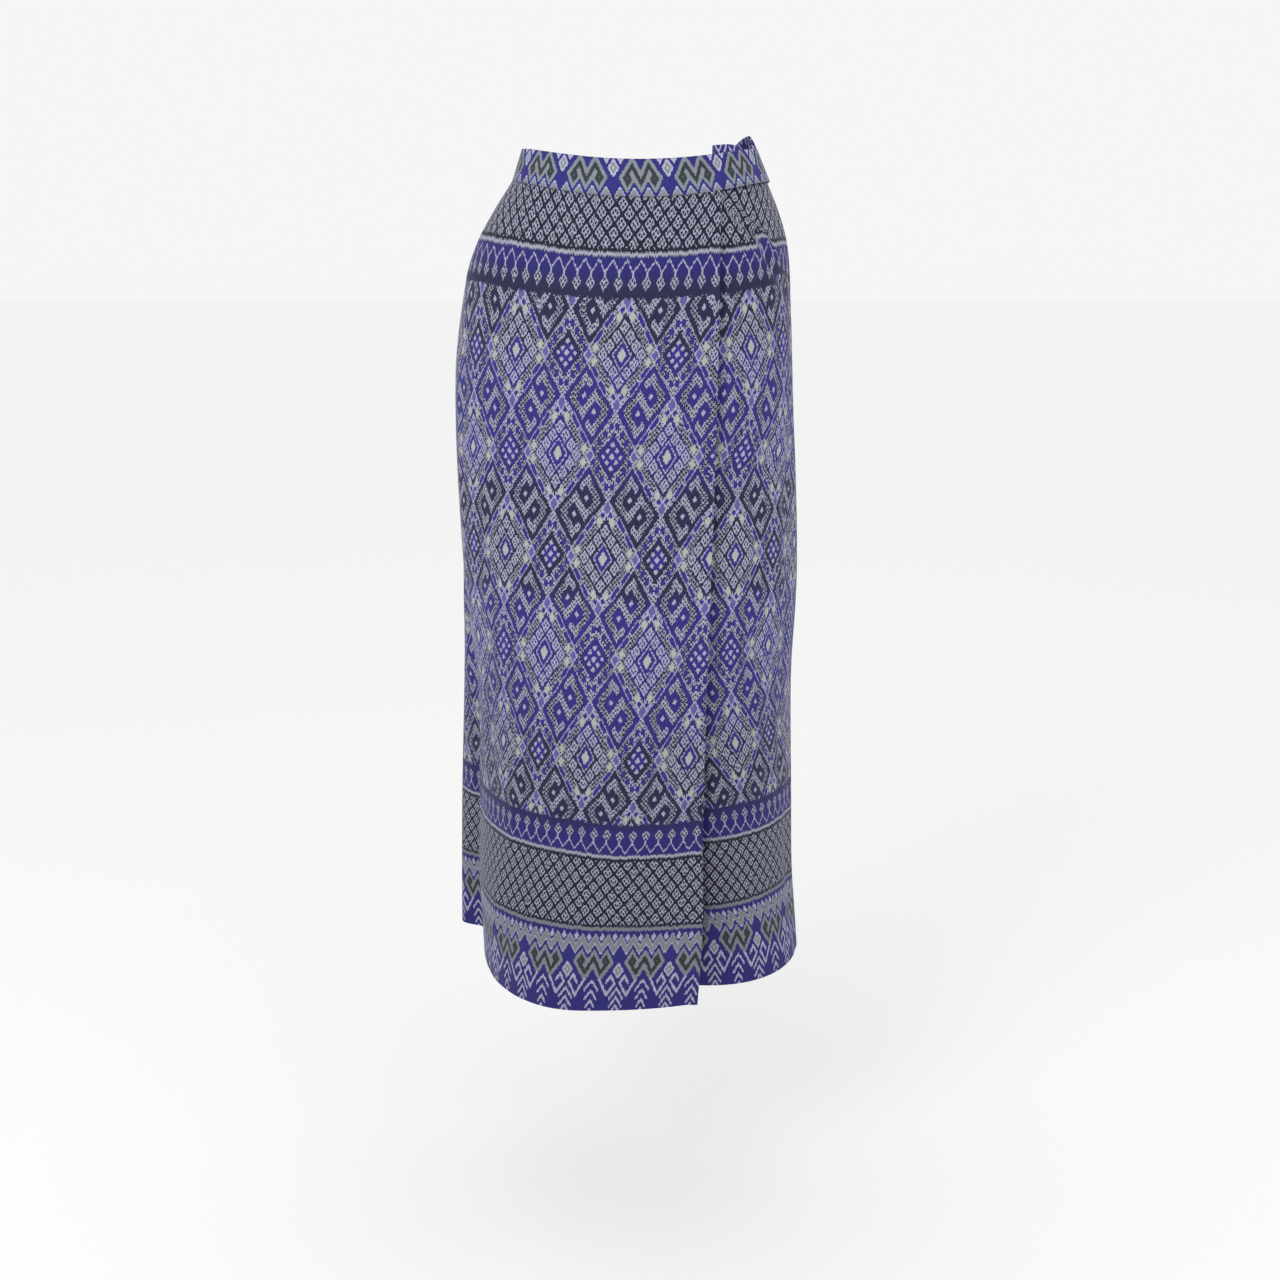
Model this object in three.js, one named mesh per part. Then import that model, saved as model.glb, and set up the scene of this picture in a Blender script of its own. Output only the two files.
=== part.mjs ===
// Skirt pants: wide culotte legs with a flap wrapped over the front, worn and hollow.
//
// Frame in mm: +X to the viewer's right, -Y to the front, +Z up. The origin is the centre
// of the waist opening, level with the top of the waistband at the sides.
//
// Every cloth piece is a wall lofted through level outlines. An outline runs from a side
// seam round to the middle of the garment, and its points come from the tables below.
import * as THREE from 'three';

// ---- Driving sizes ---------------------------------------------------------------------

const CLOTH = 1.6; // wall of one layer of cloth
const BAND_CLOTH = 2.6; // wall of the doubled waistband
const SEAM_GAP = 0.3; // left between two pieces at a seam
const LAYER_STEP = 3; // from the face of one layer to the face of the layer under it

const BAND_SEAM_Z = -30; // lower edge of the waistband at the sides
const HEM_Z = -873;
const BAND_DIP_TOP = 16; // how far the top of the band sags at the middle of the front
const BAND_DIP = 20; // the same at the band's lower seam
const DIP_FADE = { startZ: -100, endZ: -260 }; // heights between which the sag fades out

// The crotch seam hangs as a U in the middle plane, between the two legs.
const CROTCH = { startZ: -170, z: -310, y: 18 };
const LEG_GAP = 6; // each leg's inner wall stands this far from the middle plane at the hem
const LEG_GAP_REACH = 250; // height over which that gap opens, below the crotch

// How far each leg's foremost and hindmost point moves off the middle plane at the hem.
const SPREAD = { leftFront: 50, rightFront: 87, leftBack: 92, rightBack: 92 };
const CORNER_WIDTH = 14; // width of the stretch that turns inwards, where the U starts
const BACK_SQUARE = 2.2; // exponent of the curves of the legs' backs
const RIGHT_BACK_EXTRA = 16; // the right leg stands back by this much more at the hem

// Middle plane and hindmost depth of the body and legs.
const BODY = [
  { z: -30, centreX: 2, backY: 99 },
  { z: -60, centreX: 0, backY: 106 },
  { z: -90, centreX: -2, backY: 112 },
  { z: -126, centreX: -5, backY: 118 },
  { z: -227, centreX: -8, backY: 126 },
  { z: -420, centreX: -10, backY: 132 },
  { z: -570, centreX: -11, backY: 143 },
  { z: -704, centreX: -12, backY: 156 },
  { z: -782, centreX: -13, backY: 161 },
  { z: -873, centreX: -13, backY: 166 },
];

// Outer face of the flap: its seam at the left side, its foremost point, the X of its free
// edge, and the exponent of the curves between them (2 is an ellipse, more is squarer).
const FLAP = [
  { z: -30, seamX: -128, seamY: 5, frontX: 2, frontY: -99, edgeX: 79, square: 2.0 },
  { z: -60, seamX: -148, seamY: 6, frontX: 0, frontY: -105, edgeX: 77, square: 2.0 },
  { z: -90, seamX: -165, seamY: 8, frontX: -2, frontY: -110, edgeX: 76, square: 2.0 },
  { z: -126, seamX: -177, seamY: 10, frontX: -5, frontY: -114, edgeX: 75, square: 2.05 },
  { z: -227, seamX: -191, seamY: 16, frontX: -8, frontY: -118, edgeX: 74, square: 2.1 },
  { z: -420, seamX: -189, seamY: 29, frontX: -10, frontY: -120, edgeX: 70, square: 2.05 },
  { z: -570, seamX: -177, seamY: 44, frontX: -12, frontY: -120, edgeX: 66, square: 2.05 },
  { z: -704, seamX: -179, seamY: 62, frontX: -14, frontY: -120, edgeX: 64, square: 2.05 },
  { z: -782, seamX: -182, seamY: 76, frontX: -28, frontY: -121, edgeX: 65, square: 2.4 },
  { z: -873, seamX: -181, seamY: 89, frontX: -55, frontY: -121, edgeX: 60, square: 2.25 },
];

// Where the left leg's back swells out past the side seam.
const LEFT_SWELL = [
  { z: -30, x: -128, y: 14 },
  { z: -60, x: -148, y: 16 },
  { z: -90, x: -165, y: 20 },
  { z: -126, x: -177, y: 24 },
  { z: -227, x: -192, y: 36 },
  { z: -420, x: -192, y: 62 },
  { z: -570, x: -200, y: 95 },
  { z: -704, x: -209, y: 124 },
  { z: -782, x: -211, y: 119 },
  { z: -873, x: -213, y: 117 },
];

// Outer face of the right leg: its side seam, and how far its front lies behind the flap's.
const RIGHT_LEG = [
  { z: -30, seamX: 128, seamY: 5, behind: 3, square: 2.0 },
  { z: -60, seamX: 141, seamY: 6, behind: 3, square: 2.0 },
  { z: -90, seamX: 150, seamY: 8, behind: 3, square: 2.0 },
  { z: -126, seamX: 154, seamY: 10, behind: 3.1, square: 2.05 },
  { z: -227, seamX: 159, seamY: 16, behind: 6, square: 2.1 },
  { z: -420, seamX: 169, seamY: 36, behind: 17, square: 2.0 },
  { z: -570, seamX: 167, seamY: 50, behind: 31, square: 1.9 },
  { z: -704, seamX: 171, seamY: 60, behind: 49, square: 1.8 },
  { z: -782, seamX: 174, seamY: 62, behind: 57, square: 1.8 },
  { z: -873, seamX: 182, seamY: 68, behind: 60, square: 2.15 },
];

// The right front laps over itself along a slanting line: past x at that height, the cloth
// lies this much deeper.
const RIGHT_LAP = [
  { z: -30, x: 74, depth: 0 },
  { z: -52, x: 83, depth: 2.6 },
  { z: -77, x: 109, depth: 3.2 },
  { z: -98, x: 120, depth: 3.2 },
  { z: -133, x: 140, depth: 3.2 },
  { z: -156, x: 153, depth: 2 },
  { z: -204, x: 162, depth: 0 },
];
const LAP_WIDTH = 8; // the step from the upper to the deeper cloth
const LAP_END_SHARE = 1 / 6; // the lap fades out over this share of the face at the side seam

// Outer face of the waistband.
const BAND = [
  { z: 0, leftX: -118, rightX: 118, sideY: 4, centreX: 0, frontY: -92, backY: 92 },
  { z: -30, leftX: -128, rightX: 131, sideY: 5, centreX: 2, frontY: -99, backY: 99 },
];
const BAND_SQUARE = 2; // the band is an oval of four quarters of an ellipse
const BACK_DIP = 4; // the back of the band lies this much lower than its sides
// The back band's top near its right end, by distance from that end.
const STANDING_CORNER = [
  { along: 0, rise: 7 },
  { along: 8, rise: 14 },
  { along: 34, rise: 13 },
  { along: 70, rise: 2 },
  { along: 110, rise: 0 },
];
// The inner end of the band on the right: its top above the outer band's top, by X.
const UNDER_BAND = { startX: 73, lowerZ: -26, behind: 0.7 };
const UNDER_BAND_TOP = [
  { x: 73, rise: 7.5 },
  { x: 94, rise: 4.5 },
  { x: 100, rise: -3 },
  { x: 131, rise: -3 },
];

// Columns of each stretch of a panel, from its side seam to the middle.
const COLUMNS = {
  flap: [17, 13],
  leftFront: [17, 6],
  rightFront: [18, 6],
  leftBack: [5, 12, 6],
  rightBack: [13, 6],
};
const BAND_COLUMNS = { front: 34, back: 28, under: 9 };
const BAND_ROWS = 3;
const WAIST_ROWS = 5;
const CROTCH_ROWS = 6;
const LEG_ROWS = 12;
const OUTLINE_POINTS = 60; // points on each curve of an outline, before its columns are set

const COLOURS = { cloth: 0x4a4a8c, hidden: 0x43447c, band: 0x54549a };

// ---- Numbers and curves ----------------------------------------------------------------

const mix = (a, b, t) => a + (b - a) * t;
const clamp = (t) => Math.min(1, Math.max(0, t));
const ease = (t) => clamp(t) ** 2 * (3 - 2 * clamp(t));

// One column of a table, read on a smooth curve through its rows. The rows may run up or
// down in the key.
function read(table, name, value, key = 'z') {
  const last = table.length - 1;
  const direction = Math.sign(table[last][key] - table[0][key]);
  let i = 0;
  while (i < last - 1 && (value - table[i + 1][key]) * direction > 0) i += 1;
  const slope = (k) => {
    const before = table[Math.max(k - 1, 0)];
    const after = table[Math.min(k + 1, last)];
    return (after[name] - before[name]) / (after[key] - before[key]);
  };
  const [from, to] = [table[i], table[i + 1]];
  const span = to[key] - from[key];
  const t = clamp((value - from[key]) / span);
  const held = t * t * (3 - 2 * t);
  const leaving = t * (1 - t) ** 2 * span * slope(i);
  const arriving = t * t * (t - 1) * span * slope(i + 1);
  return mix(from[name], to[name], held) + leaving + arriving;
}

// A quarter of a superellipse from a side point to a foremost or hindmost point.
function quarter(side, end, square) {
  const points = [];
  for (let i = 0; i <= OUTLINE_POINTS; i += 1) {
    const angle = (i / OUTLINE_POINTS) * (Math.PI / 2);
    const across = Math.max(0, Math.cos(angle)) ** (2 / square);
    const deep = Math.sin(angle) ** (2 / square);
    const x = mix(end.x, side.x, across);
    const y = mix(side.y, end.y, deep);
    points.push(new THREE.Vector2(x, y));
  }
  return points;
}

function bezier(from, leave, arrive, to) {
  const curve = new THREE.CubicBezierCurve(from, leave, arrive, to);
  return curve.getPoints(OUTLINE_POINTS);
}

// Two or more stretches as one line, without the doubled points between them.
function join(...stretches) {
  const joined = [];
  for (const point of stretches.flat()) {
    const last = joined[joined.length - 1];
    if (!last || last.distanceTo(point) > 1e-4) joined.push(point);
  }
  return joined;
}

// Unit normals of a line, on its right-hand or left-hand side.
function normals(points, hand) {
  return points.map((_, i) => {
    const before = points[Math.max(i - 1, 0)];
    const after = points[Math.min(i + 1, points.length - 1)];
    const along = after.clone().sub(before).normalize();
    return new THREE.Vector2(along.y * hand, -along.x * hand);
  });
}

const OUT_ON_RIGHT_HAND = 1;
const OUT_ON_LEFT_HAND = -1;

function inward(points, hand, distance) {
  const out = normals(points, hand);
  return points.map((point, i) => point.clone().addScaledVector(out[i], -distance));
}

// The part of a line before it passes x, for a line that runs towards it.
function upToX(points, x) {
  const towards = Math.sign(x - points[0].x);
  const kept = [];
  for (const point of points) {
    const past = (point.x - x) * towards;
    const last = kept[kept.length - 1];
    if (past >= 0 && last) {
      const share = (x - last.x) / (point.x - last.x || 1);
      kept.push(last.clone().lerp(point, clamp(share)));
      break;
    }
    kept.push(point);
  }
  return join(kept);
}

// How far along a line each of its points is.
function reaches(points) {
  const reach = [0];
  for (let i = 1; i < points.length; i += 1) {
    reach.push(reach[i - 1] + points[i].distanceTo(points[i - 1]));
  }
  return reach;
}

// Where the columns of joined stretches lie: even steps in each stretch, and half a seam's
// gap off the two ends.
function stations(stretches, columns) {
  const places = [SEAM_GAP / 2];
  let start = 0;
  stretches.forEach((stretch, k) => {
    const length = reaches(stretch).at(-1);
    for (let i = 1; i <= columns[k]; i += 1) {
      places.push(start + (length * i) / columns[k]);
    }
    start += length;
  });
  places[places.length - 1] -= SEAM_GAP / 2;
  return places;
}

// The points of a line, or of one that runs beside it, at given places along the line.
function pick(line, places, beside = line) {
  const reach = reaches(line);
  let k = 1;
  return places.map((place) => {
    while (k < line.length - 1 && reach[k] < place) k += 1;
    const t = clamp((place - reach[k - 1]) / (reach[k] - reach[k - 1]));
    return beside[k - 1].clone().lerp(beside[k], t);
  });
}

// ---- Shared rules of the garment -------------------------------------------------------

// The heights of the rows, even within the waist, the crotch seam and the legs.
function rowHeights() {
  const heights = [];
  for (let i = 0; i < WAIST_ROWS; i += 1) {
    heights.push(mix(BAND_SEAM_Z, CROTCH.startZ, i / WAIST_ROWS));
  }
  for (let i = 0; i < CROTCH_ROWS; i += 1) {
    heights.push(mix(CROTCH.startZ, CROTCH.z, i / CROTCH_ROWS));
  }
  for (let i = 0; i <= LEG_ROWS; i += 1) {
    heights.push(mix(CROTCH.z, HEM_Z, i / LEG_ROWS));
  }
  return heights;
}

// 0 above the crotch seam, 1 at the hem.
const spreadShare = (z) => clamp((CROTCH.startZ - z) / (CROTCH.startZ - HEM_Z));

// How far a level drops from the sides to the front. depthShare is a point's Y as a share
// of its outline's foremost Y.
function frontDip(depthShare, z) {
  const frontness = clamp(depthShare);
  const atBand = mix(BAND_DIP_TOP, BAND_DIP, clamp(z / BAND_SEAM_Z));
  const fade = 1 - ease((DIP_FADE.startZ - z) / (DIP_FADE.startZ - DIP_FADE.endZ));
  return atBand * fade * frontness ** 2;
}

// The depth at which a panel ends on the U of the crotch seam.
function crotchY(z, outerY) {
  const down = clamp((CROTCH.startZ - z) / (CROTCH.startZ - CROTCH.z));
  return mix(outerY, CROTCH.y, down * down);
}

// The middle point where a leg's panel ends, on the given side of the middle plane.
function innerEnd(z, outerY, side) {
  const opening = LEG_GAP * ease((CROTCH.z - z) / LEG_GAP_REACH);
  const x = read(BODY, 'centreX', z) + side * (SEAM_GAP / 2 + opening);
  return new THREE.Vector2(x, crotchY(z, outerY));
}

const LEFT = -1;
const RIGHT = 1;
const CORNER_FULLNESS = 0.56; // how far the rounded corner of a leg reaches into its corner

// A leg's face and its rounded corner. The face runs from the side towards the middle, and
// near it gives way to a corner that turns inwards to the crotch seam or the inseam.
function faceAndCorner(face, spread, z, outerY, leg) {
  const width = mix(CORNER_WIDTH, spread, spreadShare(z));
  const outer = upToX(face, read(BODY, 'centreX', z) + leg * width);
  const from = outer.at(-1);
  if (z >= CROTCH.startZ) return [outer, [from, ...face.slice(outer.length - 1)]];
  const end = innerEnd(z, outerY, leg);
  const along = from.clone().sub(outer.at(-2)).normalize();
  const reach = CORNER_FULLNESS * Math.abs(end.x - from.x);
  const leave = from.clone().addScaledVector(along, reach);
  const arrive = new THREE.Vector2(end.x, mix(end.y, from.y, CORNER_FULLNESS));
  return [outer, bezier(from, leave, arrive, end)];
}

// ---- Outlines, each from a side seam to the middle -------------------------------------

function flapLeft(z) {
  const seam = { x: read(FLAP, 'seamX', z), y: read(FLAP, 'seamY', z) };
  const front = { x: read(FLAP, 'frontX', z), y: read(FLAP, 'frontY', z) };
  return quarter(seam, front, read(FLAP, 'square', z));
}

function flapOutline(z) {
  const front = { x: read(FLAP, 'frontX', z), y: read(FLAP, 'frontY', z) };
  const rightSide = {
    x: read(RIGHT_LEG, 'seamX', z) + LAYER_STEP,
    y: read(RIGHT_LEG, 'seamY', z),
  };
  const toRight = quarter(rightSide, front, read(FLAP, 'square', z)).reverse();
  return [flapLeft(z), upToX(toRight, read(FLAP, 'edgeX', z))];
}

function leftFrontOutline(z) {
  const face = inward(flapLeft(z), OUT_ON_RIGHT_HAND, LAYER_STEP);
  const outerY = read(FLAP, 'frontY', z) + LAYER_STEP;
  return faceAndCorner(face, SPREAD.leftFront, z, outerY, LEFT);
}

function rightFrontOutline(z) {
  const centreX = read(BODY, 'centreX', z);
  const seam = { x: read(RIGHT_LEG, 'seamX', z), y: read(RIGHT_LEG, 'seamY', z) };
  const foremost = read(FLAP, 'frontY', z);
  const front = new THREE.Vector2(
    centreX + SPREAD.rightFront * spreadShare(z),
    foremost + read(RIGHT_LEG, 'behind', z),
  );
  const face = lapped(quarter(seam, front, read(RIGHT_LEG, 'square', z)), z);
  return faceAndCorner(face, SPREAD.rightFront, z, foremost + LAYER_STEP, RIGHT);
}

// The right front's outline with the cloth past the lap line set deeper.
function lapped(points, z) {
  const out = normals(points, OUT_ON_LEFT_HAND);
  const lapX = read(RIGHT_LAP, 'x', z);
  const depth = Math.max(0, read(RIGHT_LAP, 'depth', z));
  return points.map((point, i) => {
    const seamShare = i / (points.length - 1);
    const deeper =
      depth * ease((point.x - lapX) / LAP_WIDTH) * ease(seamShare / LAP_END_SHARE);
    return point.clone().addScaledVector(out[i], -deeper);
  });
}

function leftBackOutline(z) {
  const seam = new THREE.Vector2(read(FLAP, 'seamX', z), read(FLAP, 'seamY', z));
  const swell = new THREE.Vector2(read(LEFT_SWELL, 'x', z), read(LEFT_SWELL, 'y', z));
  const middleY = mix(seam.y, swell.y, 0.5);
  const flare = bezier(
    seam,
    new THREE.Vector2(seam.x, middleY),
    new THREE.Vector2(swell.x, middleY),
    swell,
  );
  return [flare, ...backOutline(z, swell, SPREAD.leftBack, LEFT)];
}

function rightBackOutline(z) {
  const seam = new THREE.Vector2(read(RIGHT_LEG, 'seamX', z), read(RIGHT_LEG, 'seamY', z));
  return backOutline(z, seam, SPREAD.rightBack, RIGHT);
}

function backOutline(z, side, spread, leg) {
  const share = spreadShare(z);
  const hindmost = read(BODY, 'backY', z);
  const back = {
    x: read(BODY, 'centreX', z) + leg * spread * share,
    y: hindmost + (leg === RIGHT ? RIGHT_BACK_EXTRA * share : 0),
  };
  return faceAndCorner(quarter(side, back, BACK_SQUARE), spread, z, hindmost, leg);
}

// ---- Solids ----------------------------------------------------------------------------

// A closed wall from a grid of outer points and the points the same way on its inside.
function wallGeometry(outer, inner) {
  const rows = outer.length;
  const columns = outer[0].length;
  const positions = [...outer.flat(), ...inner.flat()].flatMap((p) => [p.x, p.y, p.z]);
  const at = (side, row, column) => side * rows * columns + row * columns + column;
  const faces = [];
  const quad = (a, b, c, d) => faces.push(a, b, c, a, c, d);
  for (let r = 0; r < rows - 1; r += 1) {
    for (let c = 0; c < columns - 1; c += 1) {
      quad(at(0, r, c), at(0, r + 1, c), at(0, r + 1, c + 1), at(0, r, c + 1));
      quad(at(1, r, c + 1), at(1, r + 1, c + 1), at(1, r + 1, c), at(1, r, c));
    }
    const last = columns - 1;
    quad(at(1, r, 0), at(1, r + 1, 0), at(0, r + 1, 0), at(0, r, 0));
    quad(at(0, r, last), at(0, r + 1, last), at(1, r + 1, last), at(1, r, last));
  }
  for (let c = 0; c < columns - 1; c += 1) {
    const last = rows - 1;
    quad(at(0, 0, c), at(0, 0, c + 1), at(1, 0, c + 1), at(1, 0, c));
    quad(at(1, last, c), at(1, last, c + 1), at(0, last, c + 1), at(0, last, c));
  }
  const geometry = new THREE.BufferGeometry();
  geometry.setAttribute('position', new THREE.Float32BufferAttribute(positions, 3));
  geometry.setIndex(signedVolume(positions, faces) < 0 ? faces.toReversed() : faces);
  geometry.computeVertexNormals();
  return geometry;
}

function signedVolume(positions, faces) {
  const corner = (i) => new THREE.Vector3().fromArray(positions, 3 * i);
  let volume = 0;
  for (let i = 0; i < faces.length; i += 3) {
    const [a, b, c] = [corner(faces[i]), corner(faces[i + 1]), corner(faces[i + 2])];
    volume += a.dot(b.cross(c)) / 6;
  }
  return volume;
}

function clothMesh(name, geometry, colour) {
  const material = new THREE.MeshStandardMaterial({ color: colour, roughness: 0.7 });
  material.side = THREE.DoubleSide;
  const mesh = new THREE.Mesh(geometry, material);
  mesh.name = name;
  return mesh;
}

// A panel that hangs from the waistband to the hem.
function panel(name, outline, columns, hand, colour) {
  const outer = [];
  const inner = [];
  for (const z of rowHeights()) {
    const stretches = outline(z);
    const dense = join(...stretches);
    const places = stations(stretches, columns);
    const line = pick(dense, places);
    const under = pick(dense, places, inward(dense, hand, CLOTH));
    const gap = z === BAND_SEAM_Z ? SEAM_GAP : 0;
    const foremost = Math.min(-1, ...dense.map((p) => p.y));
    const levels = line.map((p) => z - gap - frontDip(p.y / foremost, z));
    outer.push(line.map((p, i) => new THREE.Vector3(p.x, p.y, levels[i])));
    inner.push(under.map((p, i) => new THREE.Vector3(p.x, p.y, levels[i])));
  }
  return clothMesh(name, wallGeometry(outer, inner), colour);
}

// ---- Waistband -------------------------------------------------------------------------

function bandFrontOutline(z) {
  const front = { x: read(BAND, 'centreX', z), y: read(BAND, 'frontY', z) };
  const sideY = read(BAND, 'sideY', z);
  const left = quarter({ x: read(BAND, 'leftX', z), y: sideY }, front, BAND_SQUARE);
  const right = quarter({ x: read(BAND, 'rightX', z), y: sideY }, front, BAND_SQUARE);
  return join(left, right.reverse());
}

function bandBackOutline(z) {
  const back = { x: read(BAND, 'centreX', z), y: read(BAND, 'backY', z) };
  const sideY = read(BAND, 'sideY', z);
  const left = quarter({ x: read(BAND, 'leftX', z), y: sideY }, back, BAND_SQUARE);
  const right = quarter({ x: read(BAND, 'rightX', z), y: sideY }, back, BAND_SQUARE);
  return join(right, left.reverse());
}

// A stretch of band. levels(point, along) gives its lower and upper height there, before
// the sag of the front.
function bandStretch(name, outline, columns, hand, levels, depth, cloth) {
  const outer = [];
  const inner = [];
  const level = (z, inset) => {
    const dense = outline(z);
    return pick(dense, stations([dense], [columns]), inward(dense, hand, inset));
  };
  const [top, bottom] = [level(0, depth), level(BAND_SEAM_Z, depth)];
  const [topIn, bottomIn] = [level(0, depth + cloth), level(BAND_SEAM_Z, depth + cloth)];
  for (let row = 0; row < BAND_ROWS; row += 1) {
    const share = row / (BAND_ROWS - 1);
    const outerRow = [];
    const innerRow = [];
    let along = 0;
    for (let i = 0; i <= columns; i += 1) {
      if (i > 0) along += top[i].distanceTo(top[i - 1]);
      const { low, high } = levels(top[i], along);
      const z = mix(high, low, share);
      const slant = z / BAND_SEAM_Z;
      const face = top[i].clone().lerp(bottom[i], slant);
      const back = topIn[i].clone().lerp(bottomIn[i], slant);
      const dip = frontDip(face.y / (read(BAND, 'frontY', z) + depth), z);
      outerRow.push(new THREE.Vector3(face.x, face.y, z - dip));
      innerRow.push(new THREE.Vector3(back.x, back.y, z - dip));
    }
    outer.push(outerRow);
    inner.push(innerRow);
  }
  return clothMesh(name, wallGeometry(outer, inner), COLOURS.band);
}

function waistbandFront() {
  const levels = () => ({ low: BAND_SEAM_Z, high: 0 });
  return bandStretch('waistband_front', bandFrontOutline, BAND_COLUMNS.front,
    OUT_ON_RIGHT_HAND, levels, 0, BAND_CLOTH);
}

function waistbandBack() {
  const levels = (point, along) => {
    const backness = clamp(point.y / read(BAND, 'backY', 0));
    const rise = read(STANDING_CORNER, 'rise', along, 'along');
    return { low: BAND_SEAM_Z, high: rise - BACK_DIP * backness ** 2 };
  };
  return bandStretch('waistband_back', bandBackOutline, BAND_COLUMNS.back,
    OUT_ON_RIGHT_HAND, levels, 0, BAND_CLOTH);
}

function waistbandUnder() {
  const outline = (z) => upToX(bandFrontOutline(z).reverse(), UNDER_BAND.startX);
  const levels = (point) => {
    const rise = read(UNDER_BAND_TOP, 'rise', point.x, 'x');
    return { low: UNDER_BAND.lowerZ, high: rise };
  };
  return bandStretch('waistband_under', outline, BAND_COLUMNS.under,
    OUT_ON_LEFT_HAND, levels, BAND_CLOTH + UNDER_BAND.behind, CLOTH);
}

// ---- The garment -----------------------------------------------------------------------

const garment = new THREE.Group();
garment.add(
  panel('wrap_panel', flapOutline, COLUMNS.flap, OUT_ON_RIGHT_HAND, COLOURS.cloth),
  panel('left_leg_front', leftFrontOutline, COLUMNS.leftFront, OUT_ON_RIGHT_HAND,
    COLOURS.hidden),
  panel('right_leg_front', rightFrontOutline, COLUMNS.rightFront, OUT_ON_LEFT_HAND,
    COLOURS.cloth),
  panel('left_leg_back', leftBackOutline, COLUMNS.leftBack, OUT_ON_LEFT_HAND,
    COLOURS.cloth),
  panel('right_leg_back', rightBackOutline, COLUMNS.rightBack, OUT_ON_RIGHT_HAND,
    COLOURS.cloth),
  waistbandFront(),
  waistbandUnder(),
  waistbandBack(),
);

export default garment;
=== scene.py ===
"""Skirt pants: wide culotte legs under a wrap-over front flap, worn and hollow.

+X is the viewer's right, -Y the front and +Z up. The origin is the centre of the waist
opening, level with the top of the waistband at the sides. Sizes of the cloth are written in
millimetres and become metres where a mesh is made.
"""
import math

import bpy
import numpy as np
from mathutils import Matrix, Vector


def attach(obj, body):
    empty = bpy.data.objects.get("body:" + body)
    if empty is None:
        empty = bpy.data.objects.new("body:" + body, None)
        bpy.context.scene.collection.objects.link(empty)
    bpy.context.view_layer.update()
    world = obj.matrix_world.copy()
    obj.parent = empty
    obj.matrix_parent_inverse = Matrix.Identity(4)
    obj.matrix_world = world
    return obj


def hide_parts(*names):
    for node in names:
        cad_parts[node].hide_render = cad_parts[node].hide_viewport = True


MM = 0.001

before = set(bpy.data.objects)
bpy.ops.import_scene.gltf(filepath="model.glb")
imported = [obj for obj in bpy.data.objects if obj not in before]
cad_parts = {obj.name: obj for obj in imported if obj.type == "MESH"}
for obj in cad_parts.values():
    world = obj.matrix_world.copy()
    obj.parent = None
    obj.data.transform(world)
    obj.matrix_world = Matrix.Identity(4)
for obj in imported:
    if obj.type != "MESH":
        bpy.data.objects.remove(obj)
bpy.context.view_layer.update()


# ---- Cut and fit of the garment ----

CLOTH = 0.5  # one layer of cloth
FOLD_RADIUS = 0.55  # of the turn at a folded edge
SEAM_TURN = 5.0  # seam allowance, pressed to the inside
HEM_TURN = 24.0  # hem allowance, folded up inside
FREE_EDGE_TURN = 18.0  # of the flap's edge, folded in
LAYER_STEP = 3.0  # from the face of one layer to the face of the layer under it
SEAM_GAP = 0.3

BAND_SEAM_Z = -30.0
HEM_Z = -873.0
BAND_DIP_TOP = 16.0  # sag of the band's top at the middle of the front
BAND_DIP = 20.0
DIP_FADE = (-100.0, -260.0)

CROTCH_START_Z = -170.0
CROTCH_Z = -310.0
CROTCH_Y = 18.0
LEG_GAP = 6.0
LEG_GAP_REACH = 250.0
GATHER_Z = -260.0
GATHER = 0.9  # above that height the cloth hangs from a dipping band
CORNER_WIDTH = 14.0
CORNER_FULLNESS = 0.56
SPREAD = {"left_front": 50, "right_front": 87, "left_back": 92, "right_back": 92}
BACK_SQUARE = 2.2
RIGHT_BACK_EXTRA = 16.0
LEFT, RIGHT = -1, 1

# Each table gives one value for each of these heights.
LEVELS = (-30, -60, -90, -126, -227, -420, -570, -704, -782, -873)
BODY = {
    "centre_x": (2, 0, -2, -5, -8, -10, -11, -12, -13, -13),
    "back_y": (99, 106, 112, 118, 126, 132, 143, 156, 161, 166),
}
FLAP = {
    "seam_x": (-128, -148, -165, -177, -191, -189, -177, -179, -182, -181),
    "seam_y": (5, 6, 8, 10, 16, 29, 44, 62, 76, 89),
    "front_x": (2, 0, -2, -5, -8, -10, -12, -14, -28, -55),
    "front_y": (-99, -105, -110, -114, -118, -120, -120, -120, -121, -121),
    "edge_x": (79, 77, 76, 75, 74, 70, 66, 64, 65, 60),
    "square": (2, 2, 2, 2.05, 2.1, 2.05, 2.05, 2.05, 2.4, 2.25),
}
LEFT_SWELL = {
    "x": (-128, -148, -165, -177, -192, -192, -200, -209, -211, -213),
    "y": (14, 16, 20, 24, 36, 62, 95, 124, 119, 117),
}
RIGHT_LEG = {
    "seam_x": (128, 141, 150, 154, 159, 169, 167, 171, 174, 182),
    "seam_y": (5, 6, 8, 10, 16, 36, 50, 60, 62, 68),
    "behind": (3, 3, 3, 3.1, 6, 17, 31, 49, 57, 60),
    "square": (2, 2, 2, 2.05, 2.1, 2, 1.9, 1.8, 1.8, 2.15),
}
# The right front laps over itself: past x at a height, the cloth lies this much deeper.
RIGHT_LAP_Z = (-30, -52, -77, -98, -133, -156, -204)
RIGHT_LAP = {
    "x": (74, 83, 109, 120, 140, 153, 162),
    "depth": (0, 2.6, 3.2, 3.2, 3.2, 2, 0),
}
LAP_WIDTH = 5.0
LAP_END_SHARE = 1 / 6
LAP_GROOVE = 1.6  # the hollow along the lap's edge
LAP_RISES = (6.5, -9.0)  # how far the cloth is pulled up at the lap's edge, and past it
LAP_BREADTH = 13.0
LAP_STEEPNESS = 3.0
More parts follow.
